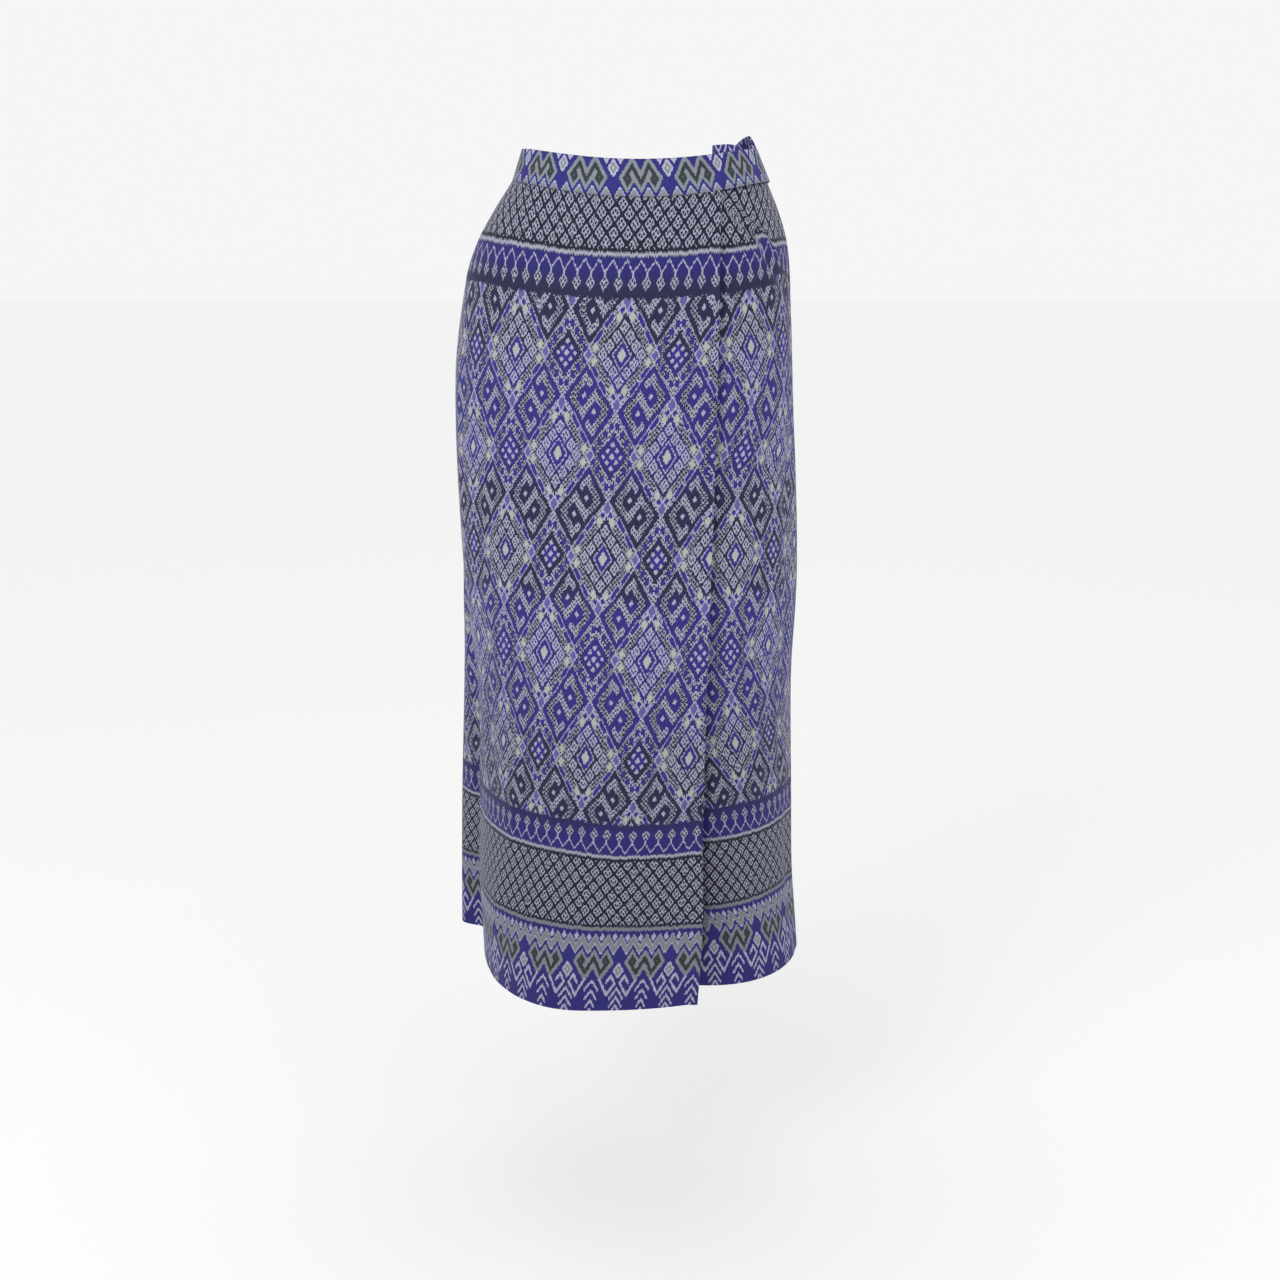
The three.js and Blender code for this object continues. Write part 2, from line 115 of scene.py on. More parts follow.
# How far the flap's cloth is pulled up at each height, at its front and at its left side.
FLAP_RISE_Z = (-30, -100, -190, -290, -480, -610, -700, -873)
FLAP_RISE = {
    "front": (2.5, 2.5, -2.5, 0, 0, -3, 0, 0),
    "left": (2.5, 2.5, -1, 4, 5, 0, 2, 1),
}
FLAP_RISE_TURN_X = -100.0
# The flap's free edge stands off the layer under it by this much more at each height.
EDGE_LIFT_Z = (-30, -90, -140, -250, -420, -700, -873)
EDGE_LIFT = (0, 2.2, 4.4, 3.2, 2.2, 2.2, 3.2)
EDGE_LIFT_WIDTH = 13.0
# The layer under it falls back along the edge: how far, how wide, and past the edge by.
EDGE_HOLLOW = (3.6, 4.5, 2.5)
EDGE_HOLLOW_START = 40.0  # it deepens from the band down to here
# Soft folds (+) and hollows (-): from and to, as distance from the side seam and height,
# then how far the cloth is lifted and how wide the fold is.
CREASES = {
    "wrap_flap": (
        ((38, -190), (52, -470), 1.8, 11),
        ((24, -600), (18, -860), 2.2, 9),
        ((86, -330), (74, -690), -1.1, 13),
        ((128, -560), (140, -873), 2.0, 17),
        ((176, -215), (190, -395), 1.2, 12),
        ((212, -640), (206, -873), -1.1, 14),
        ((262, -480), (270, -800), 1.8, 12),
    ),
    "left_front": (
        ((60, -240), (70, -520), -2.4, 14),
        ((130, -420), (118, -873), -3.0, 18),
        ((185, -560), (190, -800), -2.0, 12),
    ),
    "right_front": (
        ((30, -250), (26, -520), 1.6, 9),
        ((58, -300), (66, -690), -1.8, 11),
        ((16, -560), (22, -873), 2.0, 10),
        ((84, -470), (90, -650), -1.2, 8),
        ((44, -700), (38, -873), -1.6, 9),
    ),
    "left_back": (
        ((24, -420), (36, -760), 2.4, 10),
        ((70, -260), (84, -600), -2.2, 14),
        ((120, -480), (112, -873), 3.0, 18),
        ((160, -200), (176, -380), 2.0, 12),
        ((205, -640), (214, -873), -2.6, 15),
    ),
    "right_back": (
        ((28, -230), (34, -500), 2.2, 11),
        ((66, -520), (58, -873), -2.6, 14),
        ((110, -280), (122, -640), 2.6, 16),
        ((158, -600), (150, -873), -2.4, 13),
        ((190, -220), (178, -420), 1.8, 12),
    ),
}

# The band at its top and at its seam.
BAND = {
    "left_x": (-118, -128),
    "right_x": (118, 131),
    "side_y": (4, 5),
    "centre_x": (0, 2),
    "front_y": (-92, -99),
    "back_y": (92, 99),
}
BAND_CLOTH = 2.6
BACK_DIP = 4.0
# The back band's top by distance from its right end, and the inner end's top by X.
CORNER_ALONG = (0, 8, 34, 70, 110)
CORNER_RISE = (7, 14, 13, 2, 0)
UNDER_START_X = 73.0
UNDER_LOWER_Z = -26.0
UNDER_BEHIND = 0.7
UNDER_TOP_X = (73, 94, 100, 131)
UNDER_RISE = (7.5, 4.5, -3, -3)

OUTLINE_POINTS = 120
FINENESS = 5  # columns of the cloth for each column of the solid it dresses
ROW_STEP = 4.0


def mix(a, b, t):
    return a + (b - a) * t


def clamp(t):
    return np.clip(t, 0.0, 1.0)


def ease(t):
    return clamp(t) ** 2 * (3 - 2 * clamp(t))


def read(values, at, keys=LEVELS):
    """A table's column on a smooth curve through its rows."""
    keys = np.asarray(keys, float)
    values = np.asarray(values, float)
    if keys[0] > keys[-1]:
        keys, values = keys[::-1], values[::-1]
    after = np.minimum(np.arange(len(keys)) + 1, len(keys) - 1)
    before = np.maximum(np.arange(len(keys)) - 1, 0)
    slopes = (values[after] - values[before]) / (keys[after] - keys[before])
    i = np.clip(np.searchsorted(keys, at) - 1, 0, len(keys) - 2)
    span = keys[i + 1] - keys[i]
    t = clamp((at - keys[i]) / span)
    held = t * t * (3 - 2 * t)
    leaving = t * (1 - t) ** 2 * span * slopes[i]
    arriving = t * t * (t - 1) * span * slopes[i + 1]
    return mix(values[i], values[i + 1], held) + leaving + arriving


# ---- Level outlines ----


def quarter(side, end, square):
    """A quarter of a superellipse from a side point to a foremost or hindmost point."""
    angle = np.linspace(0, math.pi / 2, OUTLINE_POINTS + 1)
    across = np.maximum(0, np.cos(angle)) ** (2 / square)
    deep = np.sin(angle) ** (2 / square)
    return np.stack([mix(end[0], side[0], across), mix(side[1], end[1], deep)], 1)


def bezier(start, leave, arrive, end):
    t = np.linspace(0, 1, OUTLINE_POINTS + 1)[:, None]
    start, leave, arrive, end = map(np.asarray, (start, leave, arrive, end))
    first = (1 - t) ** 3 * start + 3 * t * (1 - t) ** 2 * leave
    return first + 3 * t * t * (1 - t) * arrive + t**3 * end


def normals(points, hand):
    """Unit normals of a line, on its right-hand (1) or left-hand (-1) side."""
    along = np.gradient(points, axis=0)
    along /= np.maximum(np.linalg.norm(along, axis=1, keepdims=True), 1e-9)
    return np.stack([along[:, 1], -along[:, 0]], 1) * hand


def inward(points, hand, distance):
    return points - normals(points, hand) * distance


def up_to_x(points, x):
    """The part of a line before it passes x, for a line that runs towards it."""
    towards = np.sign(x - points[0, 0])
    past = np.nonzero((points[:, 0] - x) * towards >= 0)[0]
    if len(past) == 0 or past[0] == 0:
        return points
    k = past[0]
    share = (x - points[k - 1, 0]) / ((points[k, 0] - points[k - 1, 0]) or 1)
    return np.vstack([points[:k], mix(points[k - 1], points[k], clamp(share))])


def join(stretches):
    line = np.vstack(stretches)
    apart = np.linalg.norm(np.diff(line, axis=0), axis=1) > 1e-4
    return line[np.concatenate([[True], apart])]


def reaches(points):
    """How far along a line each of its points is."""
    steps = np.linalg.norm(np.diff(points, axis=0), axis=1)
    return np.concatenate([[0.0], np.cumsum(steps)])


def stations(stretches, columns):
    places = [SEAM_GAP / 2]
    start = 0.0
    for stretch, count in zip(stretches, columns):
        length = reaches(stretch)[-1]
        places += [start + length * i / count for i in range(1, count + 1)]
        start += length
    places[-1] -= SEAM_GAP / 2
    return np.array(places)


def pick(line, places):
    reach = reaches(line)
    return np.stack([np.interp(places, reach, line[:, k]) for k in (0, 1)], 1)


# ---- Shared rules of the fit ----


def spot(table, name, z):
    """A table's point at a height."""
    return read(table[name + "_x"], z), read(table[name + "_y"], z)


def spread_share(z):
    return float(clamp((CROTCH_START_Z - z) / (CROTCH_START_Z - HEM_Z)))


def front_dip(depth_share, z):
    """How far a level drops from the sides to the front of the waist."""
    at_band = mix(BAND_DIP_TOP, BAND_DIP, clamp(z / BAND_SEAM_Z))
    fade = 1 - ease((DIP_FADE[0] - z) / (DIP_FADE[0] - DIP_FADE[1]))
    return at_band * fade * clamp(depth_share) ** 2


def inner_end(z, outer_y, leg):
    """Where a leg's panel ends, on the crotch seam or the inseam."""
    down = clamp((CROTCH_START_Z - z) / (CROTCH_START_Z - CROTCH_Z))
    opening = LEG_GAP * ease((CROTCH_Z - z) / LEG_GAP_REACH)
    x = read(BODY["centre_x"], z) + leg * (SEAM_GAP / 2 + opening)
    return np.array([x, mix(outer_y, CROTCH_Y, down * down)])


def face_and_corner(face, spread, z, outer_y, leg):
    """A leg's face, and the rounded corner that turns in to the middle of the garment."""
    width = mix(CORNER_WIDTH, spread, spread_share(z))
    outer = up_to_x(face, read(BODY["centre_x"], z) + leg * width)
    if z >= CROTCH_START_Z:
        return [outer, np.vstack([outer[-1:], face[len(outer) - 1:]])]
    start, end = outer[-1], inner_end(z, outer_y, leg)
    along = (start - outer[-2]) / np.linalg.norm(start - outer[-2])
    leave = start + along * CORNER_FULLNESS * abs(end[0] - start[0])
    arrive = (end[0], mix(end[1], start[1], CORNER_FULLNESS))
    return [outer, bezier(start, leave, arrive, end)]


def flap_left(z):
    return quarter(spot(FLAP, "seam", z), spot(FLAP, "front", z), read(FLAP["square"], z))


def flap_outline(z):
    side_x, side_y = spot(RIGHT_LEG, "seam", z)
    side = (side_x + LAYER_STEP, side_y)
    from_right = quarter(side, spot(FLAP, "front", z), read(FLAP["square"], z))
    return [flap_left(z), up_to_x(from_right[::-1], read(FLAP["edge_x"], z))]


def flap_rise(z, x):
    front = read(FLAP_RISE["front"], z, FLAP_RISE_Z)
    left = read(FLAP_RISE["left"], z, FLAP_RISE_Z)
    return mix(front, left, ease(x / FLAP_RISE_TURN_X))


def left_front_outline(z):
    face = inward(flap_left(z), 1, LAYER_STEP)
    outer_y = read(FLAP["front_y"], z) + LAYER_STEP
    return face_and_corner(face, SPREAD["left_front"], z, outer_y, LEFT)


def lap_share(z):
    return max(0.0, read(RIGHT_LAP["depth"], z, RIGHT_LAP_Z)) / max(RIGHT_LAP["depth"])


def lap_rise(z, x):
    """How far the right front's cloth is pulled up at the lap's edge and past it."""
    past = x - read(RIGHT_LAP["x"], z, RIGHT_LAP_Z)
    first = LAP_RISES[0] * ease(past / LAP_STEEPNESS)
    second = LAP_RISES[1] * ease((past - LAP_BREADTH) / LAP_STEEPNESS)
    return lap_share(z) * (first + second)


def right_front_outline(z):
    foremost = read(FLAP["front_y"], z)
    front = (
        read(BODY["centre_x"], z) + SPREAD["right_front"] * spread_share(z),
        foremost + read(RIGHT_LEG["behind"], z),
    )
    plain = quarter(spot(RIGHT_LEG, "seam", z), front, read(RIGHT_LEG["square"], z))
    lap_x = read(RIGHT_LAP["x"], z, RIGHT_LAP_Z)
    depth = max(0.0, read(RIGHT_LAP["depth"], z, RIGHT_LAP_Z))
    share = np.linspace(0, 1, len(plain))
    past = plain[:, 0] - lap_x
    deeper = depth * ease(past / LAP_WIDTH) * ease(share / LAP_END_SHARE)
    deeper += LAP_GROOVE * lap_share(z) * np.exp(-((past - LAP_WIDTH) / LAP_WIDTH) ** 2)
    fall, width, shift = EDGE_HOLLOW
    off_edge = plain[:, 0] - read(FLAP["edge_x"], z) - shift
    from_band = ease((BAND_SEAM_Z - z) / EDGE_HOLLOW_START)
    deeper += fall * from_band * np.exp(-(off_edge / width) ** 2)
    face = plain - normals(plain, -1) * deeper[:, None]
    return face_and_corner(face, SPREAD["right_front"], z, foremost + LAYER_STEP, RIGHT)


def back_outline(z, side, spread, leg):
    share = spread_share(z)
    hindmost = read(BODY["back_y"], z)
    extra = RIGHT_BACK_EXTRA * share if leg == RIGHT else 0
    back = (read(BODY["centre_x"], z) + leg * spread * share, hindmost + extra)
    return face_and_corner(quarter(side, back, BACK_SQUARE), spread, z, hindmost, leg)


def left_back_outline(z):
    seam = spot(FLAP, "seam", z)
    swell = (read(LEFT_SWELL["x"], z), read(LEFT_SWELL["y"], z))
    middle_y = mix(seam[1], swell[1], 0.5)
    flare = bezier(seam, (seam[0], middle_y), (swell[0], middle_y), swell)
    return [flare, *back_outline(z, swell, SPREAD["left_back"], LEFT)]


def right_back_outline(z):
    return back_outline(z, spot(RIGHT_LEG, "seam", z), SPREAD["right_back"], RIGHT)


# ---- Cloth as grids of points ----


def unit(vectors):
    return vectors / np.maximum(np.linalg.norm(vectors, axis=-1, keepdims=True), 1e-9)


def inside_of(points, hand):
    """Unit vectors that point to the inside of the garment, for a grid of points."""
    down = np.gradient(points, axis=0)
    along = np.gradient(points, axis=1)
    return -unit(np.cross(down, along)) * hand


class Cloth:
    """A grid of points with its inside directions and its place in the weave.

    Rows run down from the waist and columns run along a level. weave holds, in mm, how far
    each point is along the weft and up the warp.
    """

    def __init__(self, points, weave, hand):
        self.points = points
        self.weave = weave
        self.inside = inside_of(points, hand)

    def rearranged(self, change):
        grids = (self.points, self.weave, self.inside)
        self.points, self.weave, self.inside = map(change, grids)
        return self

    def turned(self):
        """The same cloth with rows and columns swapped, so an edge can be worked on."""
        return self.rearranged(lambda grid: grid.swapaxes(0, 1))

    def flipped(self):
        return self.rearranged(lambda grid: grid[::-1])

    def add_rows(self, points, weave, inside):
        self.points = np.concatenate([self.points, points])
        self.weave = np.concatenate([self.weave, weave])
        self.inside = np.concatenate([self.inside, inside])
        return self

    def edge(self):
        """The last row, the way on past it, the same for the weave, and its inside."""
        way = unit(self.points[-1] - self.points[-2])
        weave_way = unit(self.weave[-1] - self.weave[-2])
        return self.points[-1], way, self.weave[-1], weave_way, self.inside[-1]

    def seam_turn(self, depth=SEAM_TURN, steps=3):
        """Turns the last row's edge in, as a pressed seam allowance."""
        edge, way, weave, weave_way, inside = self.edge()
        bends = np.linspace(0, 1, steps + 2)[1:]
        points, weaves = [], []
        for bend in bends:
            points.append(edge + inside * depth * bend - way * 0.1 * bend)
            weaves.append(weave + weave_way * depth * bend)
        return self.add_rows(points, weaves, [inside] * len(bends))

    def folded_hem(self, width=HEM_TURN, radius=FOLD_RADIUS):
        """Folds the last rows' edge to the inside and lays it against the cloth."""
        edge, way, weave, weave_way, inside = self.edge()
        far = np.linalg.norm(self.points[-1] - self.points[::-1], axis=2).mean(axis=1)
        count = int(np.searchsorted(far, width))
        points, weaves, insides = [], [], []
        for angle in (math.pi / 3, math.pi * 2 / 3, math.pi):
            out = way * radius * math.sin(angle)
            points.append(edge + out + inside * radius * (1 - math.cos(angle)))
            weaves.append(weave + weave_way * radius * angle)
            insides.append(inside)
        for k in range(2, count + 2):
            points.append(self.points[-k] + self.inside[-k] * 2 * radius)
            weaves.append(weave + weave_way * (far[k - 1] + radius * math.pi))
            insides.append(self.inside[-k])
        return self.add_rows(points, weaves, insides)


def row_heights():
    count = round((BAND_SEAM_Z - HEM_Z) / ROW_STEP)
    return np.linspace(BAND_SEAM_Z - SEAM_GAP, HEM_Z, count + 1)


def warp_height(z):
    """How far up the warp from the hem a level is."""
    gathered = GATHER_Z - HEM_Z + (z - GATHER_Z) * GATHER
    return np.where(z < GATHER_Z, z - HEM_Z, gathered)


def crease_height(crease, places, z):
    """How far a soft fold or hollow lifts the cloth at some places along a level."""
    (start, top), (end, bottom), height, width = crease
    down = np.array([end - start, bottom - top], float)
    off = np.column_stack([places - start, np.full(len(places), z - top)])
    t = clamp(off @ down / (down @ down))
    swell = 1 - abs(2 * t - 1) ** 3
    off = off - t[:, None] * down
    # A fold fades slowly past its ends and quickly to its sides.
    spread = (off[:, 0] / width) ** 2 + (off[:, 1] / (2.5 * width)) ** 2
    return height * np.exp(-spread) * (0.35 + 0.65 * swell)


def lifted(line, hand, places, z, creases, lift):
    """The line with its creases, and its far end lifted off the layer under it."""
    height = sum((crease_height(crease, places, z) for crease in creases), 0 * places)
    if lift:
        near_end = 1 - (places[-1] - places) / EDGE_LIFT_WIDTH
        height = height + read(EDGE_LIFT, z, EDGE_LIFT_Z) * ease(near_end)
    return line + normals(line, hand) * height[:, None]


def panel_cloth(outline, columns, hand, weft, rise, creases, lift):
    """A panel from the waistband to the hem.

    weft gives each point's place along the weft, and rise how far the cloth is pulled up.
    """
    rows, weave = [], []
    for z in row_heights():
        stretches = outline(z)
        dense = join(stretches)
        places = stations(stretches, [FINENESS * count for count in columns])
        line = lifted(pick(dense, places), hand, places, z, creases, lift)
        foremost = min(-1.0, dense[:, 1].min())
        height = z - front_dip(line[:, 1] / foremost, z)
        rows.append(np.column_stack([line, height]))
        warp = np.full(len(line), warp_height(z)) - rise(z, line[:, 0])
        weave.append(np.column_stack([weft(z, dense, places), warp]))
    return Cloth(np.array(rows), np.array(weave), hand)


def from_middle(offset, lean):
    """Weft places counted from where the outline crosses the middle of the front.

    lean is how far the warp goes to the left for each millimetre that it hangs down.
    """

    def weft(z, dense, places):
        reach = reaches(dense)
        order = np.argsort(dense[:, 0])
        middle = np.interp(0.0, dense[order, 0], reach[order])
        direction = np.sign(dense[-1, 0] - dense[0, 0])
        return (places - middle) * direction - lean * (z - HEM_Z) + offset

    return weft


def from_edge(offset, lean):
    """Weft places counted from the outline's first point."""

    def weft(z, dense, places):
        return places - lean * (z - HEM_Z) + offset

    return weft


# ---- From cloth to mesh ----


def cloth_object(name, cloth, node):
    """Lays a grid primitive on the cloth's points and gives it a layer's thickness."""
    rows, columns = cloth.points.shape[:2]
    bpy.ops.object.select_all(action="DESELECT")
    bpy.ops.mesh.primitive_grid_add(
        x_subdivisions=columns - 1, y_subdivisions=rows - 1, size=1, calc_uvs=True
    )
    piece = bpy.context.object
    piece.name = name
    mesh = piece.data
    mesh.name = name
    places = np.empty(len(mesh.vertices) * 3)
    mesh.vertices.foreach_get("co", places)
    places = places.reshape(-1, 3)
    column = np.rint((places[:, 0] + 0.5) * (columns - 1)).astype(int)
    row = np.rint((0.5 - places[:, 1]) * (rows - 1)).astype(int)
    mesh.vertices.foreach_set("co", (cloth.points[row, column] * MM).ravel())
    corners = np.empty(len(mesh.loops), dtype=np.int32)
    mesh.loops.foreach_get("vertex_index", corners)
    weave = cloth.weave[row, column][corners] * MM
    mesh.uv_layers.active.name = "weave"
    mesh.uv_layers.active.data.foreach_set("uv", weave.ravel())
    mesh.update()
    outward = -cloth.inside[row, column]
    vertex_normals = np.empty(len(mesh.vertices) * 3)
    mesh.vertices.foreach_get("normal", vertex_normals)
    if (vertex_normals.reshape(-1, 3) * outward).sum(axis=1).mean() < 0:
        mesh.flip_normals()
    mesh.shade_smooth()
    thicken = piece.modifiers.new("cloth", "SOLIDIFY")
    thicken.thickness = CLOTH * MM
    thicken.offset = -1
    thicken.use_even_offset = False
    bpy.ops.object.modifier_apply(modifier=thicken.name)
    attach(piece, "root")
    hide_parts(node)
    return piece


def flat_size(cloth):
    """The piece's cut size before sewing: its widest row, its longest column, its area."""
    across = np.linalg.norm(np.diff(cloth.points, axis=1), axis=2).sum(axis=1)
    down = np.linalg.norm(np.diff(cloth.points, axis=0), axis=2).sum(axis=0)
    right = np.diff(cloth.points, axis=1)[:-1]
    below = np.diff(cloth.points, axis=0)[:, :-1]
    area = np.linalg.norm(np.cross(right, below), axis=2).sum()
    return across.max() * MM, down.max() * MM, area * MM * MM


def declare_sheet(cloth):
    width, length, area = flat_size(cloth)


# ---- The panels ----


def no_rise(z, x):
    return 0 * x


def make_panel(name, node, outline, columns, hand, weft, edges, rise=no_rise):
    cloth = panel_cloth(outline, columns, hand, weft, rise, CREASES[name], edges == "free")
    cloth.folded_hem()
    cloth.flipped().seam_turn().flipped()
    cloth.turned()
    cloth.flipped().seam_turn().flipped()
    if edges == "free":
        cloth.folded_hem(width=FREE_EDGE_TURN)
    else:
        cloth.seam_turn()
    cloth.turned()
    piece = cloth_object(name, cloth, node)
    declare_sheet(cloth)
    return piece


panels = [
    make_panel("wrap_flap", "wrap_panel", flap_outline, (17, 13), 1,
               from_middle(81.3, 0.094), "free", flap_rise),
    make_panel("left_front", "left_leg_front", left_front_outline, (17, 6), 1,
               from_middle(81.3, 0.094), "sewn"),
    make_panel("right_front", "right_leg_front", right_front_outline, (18, 6), -1,
               from_middle(-153, -0.052), "sewn", lap_rise),
    make_panel("left_back", "left_leg_back", left_back_outline, (5, 12, 6), -1,
               from_edge(12, 0.02), "sewn"),
    make_panel("right_back", "right_leg_back", right_back_outline, (13, 6), 1,
               from_edge(40, -0.02), "sewn"),
]

# ---- The waistband ----

BAND_ROWS = 10
BAND_RADIUS = 1.0  # of the band's folded top edge
BAND_INSIDE = 28.0  # how far the strip goes down behind the face
BAND_TURN = 1.5  # of the strip's edge at the seam
BAND_END_TURN = 1.6
# The band is cut from the hem's border and turned upside down.
BAND_WARP_LOW = 71.5
BAND_WARP_SHARE = 35.5 / 30
BAND_EASE = 1.0615
BAND_SHIFT = 9.0


def band_outline(z, middle_y):
    """Half the band at a height, from its left side by its front or its back."""
    at = {name: mix(*ends, z / BAND_SEAM_Z) for name, ends in BAND.items()}
    middle = (at["centre_x"], at[middle_y])
    left = quarter((at["left_x"], at["side_y"]), middle, 2)
    right = quarter((at["right_x"], at["side_y"]), middle, 2)
    return join([left, right[::-1]])


def band_front_outline(z):
    return band_outline(z, "front_y")


def band_back_outline(z):
    return band_outline(z, "back_y")[::-1]


def band_under_outline(z):
    return up_to_x(band_front_outline(z)[::-1], UNDER_START_X)


def front_top(points, along):
    return np.zeros(len(points))


def back_top(points, along):
    rise = np.array([read(CORNER_RISE, a, CORNER_ALONG) for a in along])
    return rise - BACK_DIP * clamp(points[:, 1] / BAND["back_y"][0]) ** 2


def under_top(points, along):
    return np.array([read(UNDER_RISE, x, UNDER_TOP_X) for x in points[:, 0]])


def band_cloth(outline, columns, hand, top_of, low, behind):
    """A doubled strip: up the inside, over the folded top edge and down the face."""
    count = FINENESS * columns

    def level(z, depth):
        dense = outline(z)
        places = stations([dense], [count])
        return pick(inward(dense, hand, depth), places), places

    top, along = level(0, behind)
    bottom, _ = level(BAND_SEAM_Z, behind)
    high = top_of(top, along)
    rows, weave = [], []
    for share in np.linspace(0, 1, BAND_ROWS):
        z = mix(high, low, share)
        slant = (z / BAND_SEAM_Z)[:, None]
        face = mix(top, bottom, slant)
        foremost = mix(*BAND["front_y"], slant[:, 0]) + behind
        rows.append(np.column_stack([face, z - front_dip(face[:, 1] / foremost, z)]))
        warp = BAND_WARP_LOW - (z - BAND_SEAM_Z) * BAND_WARP_SHARE
        weave.append(np.column_stack([along * hand * BAND_EASE + BAND_SHIFT, warp]))
    cloth = Cloth(np.array(rows), np.array(weave), hand)
    cloth.flipped().folded_hem(width=BAND_INSIDE, radius=BAND_RADIUS)
    return cloth.flipped()


def make_band(name, node, outline, columns, hand, top_of, low=BAND_SEAM_Z, behind=0.0):
    cloth = band_cloth(outline, columns, hand, top_of, low, behind)
    cloth.seam_turn(BAND_TURN)
    cloth.turned().seam_turn(BAND_END_TURN, steps=1)
    cloth.flipped().seam_turn(BAND_END_TURN, steps=1).flipped().turned()
    piece = cloth_object(name, cloth, node)
    declare_sheet(cloth)
    return piece


bands = [
    make_band("band_front", "waistband_front", band_front_outline, 34, 1, front_top),
    make_band("band_back", "waistband_back", band_back_outline, 28, 1, back_top),
    make_band("band_under", "waistband_under", band_under_outline, 9, -1, under_top,
              low=UNDER_LOWER_Z, behind=BAND_CLOTH + UNDER_BEHIND),
]


# ---- Studio ----

EYE = Vector((0.0005, -1.6, -0.135))
EYE_TILT = math.radians(12.9126)  # downwards
FOCAL_PIXELS = 1531.0
FRAME_PIXELS = 1280
SENSOR_WIDTH = 36
FLOOR_Z = HEM_Z * MM - 0.30
FLOOR_SIZE = 160.0
FLOOR_MIDDLE_Y = 60.0
PALE = (0.97, 0.97, 0.965, 1)


def set_inputs(node, values):
    for name, value in values.items():
        node.inputs[name].default_value = value


def new_finish(name):
    """A material and its shader."""
    finish = bpy.data.materials.new(name)
    finish.use_nodes = True
    return finish, finish.node_tree.nodes["Principled BSDF"]


def set_camera():
    bpy.ops.object.camera_add(location=EYE, rotation=(math.pi / 2 - EYE_TILT, 0, 0))
    camera = bpy.context.object
    camera.data.sensor_width = SENSOR_WIDTH
    camera.data.lens = SENSOR_WIDTH * FOCAL_PIXELS / FRAME_PIXELS
    bpy.context.scene.camera = camera
    bpy.context.scene.view_settings.view_transform = "Standard"


def set_stage():
    """A pale floor that runs on as far as the eye can see."""
    place = (0, FLOOR_MIDDLE_Y, FLOOR_Z)
    bpy.ops.mesh.primitive_plane_add(size=FLOOR_SIZE, location=place)
    floor = bpy.context.object
    floor.name = "pale_floor"
    paper, shader = new_finish("studio_paper")
    set_inputs(shader, {"Base Color": PALE, "Roughness": 0.95, "Specular IOR Level": 0.1})
    floor.data.materials.append(paper)


def add_softbox(name, place, size, watts, aim=(0, 0, -0.45)):
    bpy.ops.object.light_add(type="AREA", location=place)
    light = bpy.context.object
    light.name = name
    light.data.shape = "RECTANGLE"
    light.data.size, light.data.size_y = size
    light.data.energy = watts
    way = Vector(aim) - Vector(place)
    light.rotation_euler = way.to_track_quat("-Z", "Y").to_euler()


def set_lights():
    world = bpy.context.scene.world or bpy.data.worlds.new("studio")
    bpy.context.scene.world = world
    world.use_nodes = True
    backdrop = world.node_tree.nodes["Background"]
    set_inputs(backdrop, {"Color": (1, 1, 1, 1), "Strength": 0.92})
    add_softbox("key", (-1.3, -2.0, 0.9), (1.0, 1.0), 15)
    add_softbox("fill", (1.6, -1.7, 0.2), (1.4, 1.6), 4)


set_camera()
set_stage()
set_lights()


# ---- The woven figures, charted for a quarter of each repeat ----

GROUND, CHARCOAL, BLUE, WHITE, CREAM, MIST, OLIVE, BLACK = range(8)
REPEAT = 107.0  # of the field's figures along the weft
FIGURE_STEP = 101.0  # from one row of figures to the next, which stands half a repeat aside
PENDANT_STEP = REPEAT / 8
LATTICE_STEP = 17.0  # between lozenges, one above the other
BORDER_STEP = REPEAT / 2
PENDANT_UNDER = 5.0  # the dark strip on the lattice's side of the grey line
PENDANT_REACH = 36.0  # from the grey line to the field
BORDER_HEIGHT = 96.0
PEN_SLIMNESS = 0.62  # of the drawn lines: width over height of the pen
MESH = (REPEAT / 26, FIGURE_STEP / 20)  # pitch of the dots in the meshed figures
MESH_DOT = 0.74  # of the pitch


